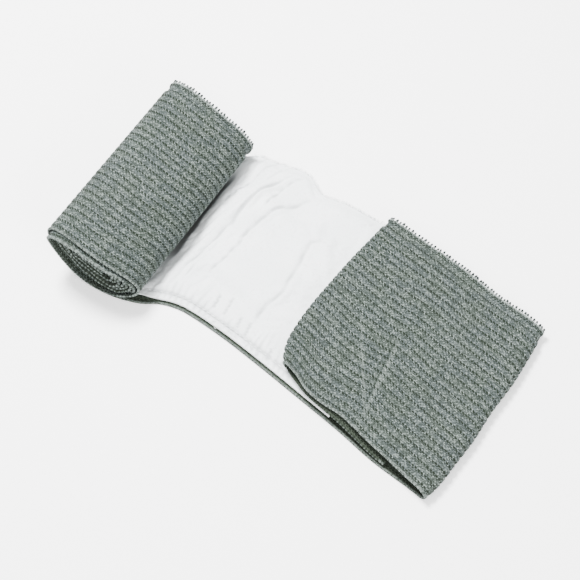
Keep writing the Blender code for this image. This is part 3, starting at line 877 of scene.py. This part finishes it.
# Sharp creases of the cover: depth and width in millimetres, then places along and across
PAD_CREASES = (
    (0.45, 0.7, (0.108, 0.65), (0.125, 0.74), (0.159, 0.82)),
    (0.60, 0.8, (0.156, 0.08), (0.154, 0.23), (0.170, 0.31), (0.188, 0.43), (0.190, 0.54),
     (0.191, 0.65), (0.201, 0.77), (0.221, 0.83), (0.248, 0.91), (0.302, 0.97)),
    (0.50, 0.8, (0.172, 0.07), (0.180, 0.24), (0.196, 0.34), (0.209, 0.49), (0.203, 0.60),
     (0.198, 0.73), (0.212, 0.81), (0.261, 0.88)),
    (0.45, 0.9, (0.249, 0.41), (0.271, 0.50), (0.279, 0.62), (0.300, 0.71), (0.347, 0.81),
     (0.386, 0.94)),
    (0.40, 0.8, (0.255, 0.69), (0.262, 0.79), (0.276, 0.90), (0.308, 0.96)),
    (0.40, 0.9, (0.239, 0.19), (0.262, 0.28), (0.272, 0.41), (0.279, 0.51)),
    (0.40, 1.0, (0.543, 0.09), (0.531, 0.19), (0.533, 0.27), (0.543, 0.35), (0.519, 0.50),
     (0.495, 0.67), (0.533, 0.74)),
    (0.50, 0.9, (0.365, 0.06), (0.350, 0.16)),
    (0.45, 0.8, (0.420, 0.06), (0.402, 0.19)),
    (0.45, 0.8, (0.500, 0.05), (0.483, 0.12)),
    (0.50, 0.9, (0.546, 0.04), (0.529, 0.13)),
    (0.45, 0.8, (0.677, 0.01), (0.665, 0.08)),
)

# Beside those figures a crease is this much wider and deeper, and raised lips run along it
CREASE_WIDEN = 1.25
CREASE_DEEPEN = 1.2
CREASE_FADE = 0.18
NEAR_LIP, FAR_LIP = 0.9, 0.35
RIPPLE_RISE = 0.42 * MM
SEAM_DEPTH = 0.45 * MM
GATHER_DEPTH = 0.42 * MM
GATHER_PITCH = 3.3 * MM


def wound_underside():
    x, z, turn = wound_laps()
    last = (turn > LAPS - 1) & (turn < LAPS - 0.76)
    return x[last], z[last] - CLOTH / 2


def pad_place(along, across):
    """Plan place of a point of the pad, and its plain top with the broad swells."""
    x = PAD_START + along * PAD_LENGTH
    front = front_edge(x) + PAD_SETBACK + FRONT_CORNER_DRAW * ease(11 * MM, 0.0, x)
    far_corner = ease(13 * MM, 3 * MM, x) * ease(-4 * MM, 2 * MM, x)
    back = back_edge(x) - LAYER_GAP + FAR_CORNER_DRAW * far_corner
    y = front + across * (back - front)
    skew = -math.tan(ROLL_SKEW) * (y - MID_WIDTH)
    from_side = np.minimum(across, 1 - across) * STRIP_WIDTH
    from_end = np.minimum(along, 1 - along) * PAD_LENGTH
    body = ease(0.0, PAD_BORDER, from_side) * ease(0.0, PAD_BORDER, from_end)
    open_part = 1 - ease(TUCK_FOLD_X - PAD_BORDER, TUCK_FOLD_X, x)
    swell = np.zeros(y.shape)
    for low, high, start, end, bow, height, spread in PAD_SWELLS:
        t = (across - low) / (high - low)
        line = start + (end - start) * t + bow * 4 * t * (1 - t)
        fade = ease(0.0, SWELL_FADE, t) * ease(0.0, SWELL_FADE, 1 - t)
        swell = swell + height * fade * hump(along - line, spread)
    thick = PAD_BORDER_THICKNESS + (PAD_THICKNESS - PAD_BORDER_THICKNESS) * body
    thick = thick + PAD_THICKNESS * swell * body * open_part
    weight = ROLL_WEIGHT - (ROLL_WEIGHT - ROLL_WEIGHT_FAR) * ease(0.78, 0.95, across)
    beside_roll = ease(10 * MM, -1.5 * MM, x + 1.5 * MM * np.sin(y / 0.011))
    thick = thick * (1 - weight * beside_roll)
    pull = 1 - ease(0.0, SKEW_END, x / OPEN_RUN)
    reach = x - skew * (1 - pull)
    room = np.interp(reach, *wound_underside()) - LAYER_GAP
    room = np.where(reach < -CLOTH, np.maximum(room, PAD_BOTTOM + LAYER_GAP), 1.0)
    return x + skew * pull, y, PAD_BOTTOM + thick, room, body, open_part


def crease_relief(along, across):
    """Sharp valleys of the cover with a raised lip beside them, in metres."""
    relief = np.zeros(np.broadcast(along, across).shape)
    here = join(along * PAD_LENGTH, across * STRIP_WIDTH)
    for depth, width, *line in PAD_CREASES:
        points = np.array(line) * (PAD_LENGTH, STRIP_WIDTH)
        lengths = running(step_lengths(points))
        fine = np.linspace(0, lengths[-1], 60)
        smooth = read_line(fine, lengths, points)
        best = np.full(relief.shape, 1.0)
        side = np.zeros(relief.shape)
        share = np.zeros(relief.shape)
        for k in range(len(fine) - 1):
            step = smooth[k + 1] - smooth[k]
            t = np.clip(((here - smooth[k]) @ step) / (step @ step), 0, 1)
            off = here - (smooth[k] + t[..., None] * step)
            away = np.hypot(off[..., 0], off[..., 1])
            closer = away < best
            best = np.where(closer, away, best)
            side = np.where(closer, np.sign(off[..., 0] * step[1] - off[..., 1] * step[0]), side)
            share = np.where(closer, (k + t) / (len(fine) - 1), share)
        fade = ease(0.0, CREASE_FADE, share) * ease(0.0, CREASE_FADE, 1 - share)
        beat = 19 * share + 90 * points[0, 0] / PAD_LENGTH
        stray = 0.22 * np.sin(beat) + 0.12 * np.sin(2.6 * beat + 1)
        fade = fade * (0.75 + 0.25 * np.sin(1.7 * beat + 2))
        across_line = (best * side / MM + stray) / (CREASE_WIDEN * width)
        lips = NEAR_LIP * hump(across_line - 1.9, 1.3) + FAR_LIP * hump(across_line + 2.2, 1.6)
        relief = relief + CREASE_DEEPEN * depth * MM * fade * (lips - hump(across_line, 1))
    # Fine ripples beside the roll, where the cover is drawn together
    x, y = along * PAD_LENGTH, across * STRIP_WIDTH
    lean = x - 0.30 * y + 1.5 * MM * np.sin(y / 0.013)
    lean = lean + 0.9 * MM * np.sin(y / 0.0061 + x / 0.004)
    ripple = np.abs(np.sin(lean / 0.0017)) ** 0.6 - 0.75
    near_roll = ease(0.40, 0.12, along) * (0.5 + 0.5 * np.sin(y / 0.009 + x / 0.006))
    return relief + RIPPLE_RISE * ripple * near_roll


def seam_relief(along, across):
    """The sewn line near the front edge, with short gathers running in from it."""
    from_front = across * (STRIP_WIDTH - PAD_SETBACK)
    x = along * PAD_LENGTH
    groove = -SEAM_DEPTH * hump(from_front - SEAM_INSET, 0.9 * MM)
    lean = x + 0.25 * from_front * np.sin(x / 0.011) + 0.5 * MM * np.sin(x / 0.0037)
    beat = 1 - np.abs(np.sin(math.pi * lean / GATHER_PITCH)) ** 0.7
    strength = np.clip(0.55 + 0.6 * np.sin(x / 0.0043 + 2) * np.sin(x / 0.0091), 0.05, 1.2)
    reach = (4.5 + 5.5 * np.clip(strength, 0.2, 1.2)) * MM
    gather = -GATHER_DEPTH * beat * strength * hump(from_front - SEAM_INSET, reach)
    return (groove + gather) * ease(0.0, 0.0006, from_front)


def sample(grid, along, across):
    """Reads a grid over the pad at other places along and across it."""
    rows, columns = grid.shape
    i = np.clip(along * (rows - 1), 0, rows - 1.001)
    j = np.clip(across * (columns - 1), 0, columns - 1.001)
    i0, j0 = np.floor(i).astype(int), np.floor(j).astype(int)
    s, t = i - i0, j - j0
    near = grid[i0, j0] * (1 - s) * (1 - t) + grid[i0 + 1, j0] * s * (1 - t)
    return near + grid[i0, j0 + 1] * (1 - s) * t + grid[i0 + 1, j0 + 1] * s * t


# How the cover settles: its grid, how much too large it is, the filling's push, the most it moves
COVER_ROWS, COVER_COLUMNS = 105, 84
COVER_EXCESS = 0.022
COVER_PRESSURE = 0.5
COVER_STEPS = 20
COVER_CAP = 0.0012


def settle_cover(rows, columns):
    """How far the cover rises when let go between its seams, a little too large and filled."""
    along, across = np.ogrid[0 : 1 : rows * 1j, 0 : 1 : columns * 1j]
    x, y, top, room, body, open_part = pad_place(along, across)
    top = np.minimum(top + 0.6 * crease_relief(along, across) * open_part, room)
    start = join(x, y, top).reshape(-1, 3)
    mesh = bpy.data.meshes.new("loose_cover")
    index = np.arange(rows * columns).reshape(rows, columns)
    mesh.from_pydata(start, [], grid_quads(index).tolist())
    cover = add_object("loose_cover", mesh)
    held = (body * open_part < 0.35) | (room < 1.0) | (x < 1 * MM)
    held = index[held].tolist()
    cover.vertex_groups.new(name="sewn").add(held, 1.0, "REPLACE")
    cloth = cover.modifiers.new("cloth", "CLOTH")
    fabric = cloth.settings
    fabric.quality = 6
    fabric.mass = 0.05
    fabric.tension_stiffness = fabric.compression_stiffness = 12
    fabric.bending_stiffness = 0.02
    fabric.vertex_group_mass = "sewn"
    fabric.shrink_min = fabric.shrink_max = -COVER_EXCESS
    fabric.use_pressure = True
    fabric.uniform_pressure_force = COVER_PRESSURE
    fabric.effector_weights.gravity = 0
    cloth.collision_settings.use_collision = False
    for step in range(1, COVER_STEPS + 1):
        bpy.context.scene.frame_set(step)
    view = bpy.context.evaluated_depsgraph_get()
    settled = cover.evaluated_get(view).to_mesh()
    place = np.zeros(len(settled.vertices) * 3, dtype=np.float32)
    settled.vertices.foreach_get("co", place)
    bpy.context.scene.frame_set(1)
    bpy.data.objects.remove(cover)
    rise = place.reshape(rows, columns, 3)[:, :, 2] - top
    return np.clip(rise, -COVER_CAP, COVER_CAP)


def build_pad(rows, columns):
    along, across = np.ogrid[0 : 1 : rows * 1j, 0 : 1 : columns * 1j]
    x, y, top, room, _body, open_part = pad_place(along, across)
    creases = crease_relief(along, across)
    sharp = creases + seam_relief(along, across)
    rise = np.zeros(y.shape)
    rise = sample(settle_cover(COVER_ROWS, COVER_COLUMNS), along, across)
    top = np.minimum(np.maximum(top + (sharp + rise) * open_part, PAD_BOTTOM + 0.5 * MM), room)
    upper = join(x, y, top) - ORIGIN
    lower = join(x, y, PAD_BOTTOM) - ORIGIN
    picked = thin_out(columns, 3)
    plan = join(x, y)
    piece = close_cloth("dressing_pad", upper, lower[:, picked], picked, plan, plan[:, picked])
    # Painted shade: folds are darkened, and the narrow gap under the roll's nose is painted darkest,
    # as the roll's shadow
    depth = np.zeros(len(piece.data.vertices))
    wobble = 0.5 * MM * np.sin(across * 11 + 1) + 0.2 * MM * np.sin(across * 37)
    gap_shadow = ease(4.4 * MM, 0.2 * MM, PAD_START + along * PAD_LENGTH + wobble)
    middle_part = ease(0.02, 0.38, across) * ease(0.98, 0.72, across)
    gap_shadow = gap_shadow * (0.5 + 0.5 * middle_part)
    fold_shade = np.clip(-sharp / (0.62 * MM), 0, 0.6)
    depth[: rows * columns] = np.maximum(fold_shade, gap_shadow).ravel()
    write_values(piece, "fold_depth", depth)
    return piece


dressing_pad = build_pad(209, 166)

PAD_THIN, PAD_DENSE = (0.755, 0.785, 0.795, 1), (0.81, 0.835, 0.845, 1)
FIBRE_GAP = (0.66, 0.68, 0.68, 1)
# Painted shade colours: grey for the cover's folds, near black for the shadowed gap under the roll's
# nose
FOLD_SHADE_GREY = (0.17, 0.185, 0.19, 1)
GAP_SHADOW_BLACK = (0.018, 0.020, 0.019, 1)


def make_pad_material():
    finish = {"Roughness": 0.85, "Sheen Weight": 0.2}
    material, tree, shader = start_material("white_non_woven", finish)
    _, times, _, mix, ramp = shorthands(tree)
    fibre = add_texture(tree, "Noise", 900.0, Detail=4.0, Roughness=0.65, Distortion=0.8)
    thin = add_texture(tree, "Noise", 60.0, Detail=3.0)
    fold = read_values(tree, "fold_depth")
    colour = mix(ramp(thin, 0.35, 0.7), PAD_THIN, PAD_DENSE)
    colour = mix(ramp(fibre, 0.50, 0.28), colour, FIBRE_GAP)
    # Painted shade: folds and gathers greyed, and the gap under the roll's nose blackened as its
    # shadow
    colour = mix(times(fold, 0.88), colour, FOLD_SHADE_GREY)
    colour = mix(ramp(fold, 0.60, 1.02), colour, GAP_SHADOW_BLACK)
    tree.links.new(colour, shader.inputs["Base Color"])
    add_bump(tree, shader, fibre, 0.35, 0.15 * MM)
    return material


dressing_pad.data.materials.append(make_pad_material())
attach(dressing_pad, "root")
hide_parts("absorbent_pad")

# The seam that holds the pad to the strip: a row of lockstitches in white sewing thread, pulled down
# into a groove of the cover near the pad's front edge.
STITCH_LENGTH = 0.0024
STITCH_WIDTH = 0.00055
STITCH_PITCH = 0.0031


def pad_top(along, across):
    x, y, top, room, _body, open_part = pad_place(along, across)
    top = top + (crease_relief(along, across) + seam_relief(along, across)) * open_part
    return join(x, y, np.minimum(top, room))


along = np.arange(0.5 * STITCH_PITCH, PAD_LENGTH - 0.5 * STITCH_PITCH, STITCH_PITCH) / PAD_LENGTH
across = np.full(along.shape, SEAM_INSET / (STRIP_WIDTH - PAD_SETBACK))
here = pad_top(along, across)
ahead = unit(pad_top(along + 0.004, across) - here)
upward = np.tile([0.0, 0.0, 1.0], (len(along), 1))
stitch_tree = make_repeat_tree("stitches", "stitch")
WHITE_THREAD = (0.55, 0.57, 0.58, 1), (0.80, 0.82, 0.82, 1)
white_thread = make_thread_material("white_thread", *WHITE_THREAD, 1100.0)
sizes = dict(Length=STITCH_LENGTH, Width=STITCH_WIDTH, Thread=STITCH_WIDTH)
sizes.update(Spread=0.06, Size_Change=0.08, Seed=5, Material=white_thread)
pad_stitches = repeat_on("pad_stitches", stitch_tree, here - ORIGIN, ahead, upward, **sizes)

# Fibres of the cover that have worked loose along its far edge and beside the seam: short curls of
# the same white thread, far thinner than the stitches and pointing all ways.
FAR_FIBRES = 260
SEAM_FIBRES = 60
FIBRE_LENGTH = 0.0013
FIBRE_WIDTH = 0.0007
FIBRE_THREAD = 0.00006
chance = np.random.default_rng(23)
along = [chance.uniform(0.08, 0.70, FAR_FIBRES), chance.uniform(0.10, 0.65, SEAM_FIBRES)]
across = [np.full(FAR_FIBRES, 0.9985), chance.uniform(0.0, 0.03, SEAM_FIBRES)]
along, across = np.concatenate(along), np.concatenate(across)
root = pad_top(along, across)
count = len(along)
outward = np.where(across > 0.5, 1.0, -0.6)
aims = join(chance.normal(0, 0.8, count), outward, chance.uniform(0.1, 0.9, count))
faces = join(chance.normal(0, 1, count), chance.normal(0, 1, count), chance.uniform(0.2, 1, count))
sizes = dict(Length=FIBRE_LENGTH, Width=FIBRE_WIDTH, Thread=FIBRE_THREAD)
sizes.update(Spread=0.5, Size_Change=0.4, Seed=31, Material=white_thread)
pad_fibres = repeat_on("pad_fibres", loop_tree, root - ORIGIN, unit(aims), unit(faces), **sizes)
for piece in (pad_stitches, pad_fibres):
    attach(piece, "root")
    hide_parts("absorbent_pad")

# What the bandage lies on and is lit by: a pale table, and light from wide soft panels round it. The
# camera stands 60 degrees above the table, as the photographer's did.
floor_mesh = bpy.data.meshes.new("floor")
floor_mesh.from_pydata([(-3, -3, 0), (3, -3, 0), (3, 3, 0), (-3, 3, 0)], [], [(0, 1, 2, 3)])
floor = add_object("floor", floor_mesh)
table_finish = {
    "Base Color": (0.96, 0.96, 0.96, 1),
    "Roughness": 0.9,
    "Emission Color": (1.0, 1.0, 1.0, 1),
    "Emission Strength": 0.35,
}
floor_mesh.materials.append(start_material("pale_table", table_finish)[0])

world = bpy.data.worlds.new("studio")
bpy.context.scene.world = world
world.use_nodes = True
sky = world.node_tree.nodes["Background"].inputs
sky[0].default_value = (1.0, 1.0, 1.0, 1)
sky[1].default_value = 0.95


def face_along(thing, place, direction):
    thing.location = place
    thing.rotation_mode = "QUATERNION"
    thing.rotation_quaternion = direction.to_track_quat("-Z", "Y")


def panel(name, place, size, power):
    light = bpy.data.lights.new(name, "AREA")
    light.size = size
    light.energy = power
    face_along(add_object(name, light), place, -Vector(place))


panel("key_light", (-0.46, 0.12, 0.92), 0.30, 50.0)
panel("fill_light", (0.10, -0.55, 1.05), 0.80, 10.0)
panel("side_light", (0.95, -0.30, 0.42), 0.70, 20.0)

CAMERA_AZIMUTH = math.radians(39)
CAMERA_HEIGHT = math.radians(60)
CAMERA_DISTANCE = 0.730
PHOTO_PIXELS = 580
FOCAL_PIXELS = 1500
AIM_X = 0.0587
camera_data = bpy.data.cameras.new("photo_camera")
camera_data.sensor_width = 36.0
camera_data.lens = camera_data.sensor_width * FOCAL_PIXELS / PHOTO_PIXELS
camera_data.clip_start = 0.01
camera = add_object("photo_camera", camera_data)
target = Vector((AIM_X - ORIGIN[0], -ORIGIN[1], 0.0))
level = math.cos(CAMERA_HEIGHT)
toward = Vector((math.sin(CAMERA_AZIMUTH), -math.cos(CAMERA_AZIMUTH), 0)) * level
toward.z = math.sin(CAMERA_HEIGHT)
face_along(camera, target + toward * CAMERA_DISTANCE, -toward)
bpy.context.scene.camera = camera
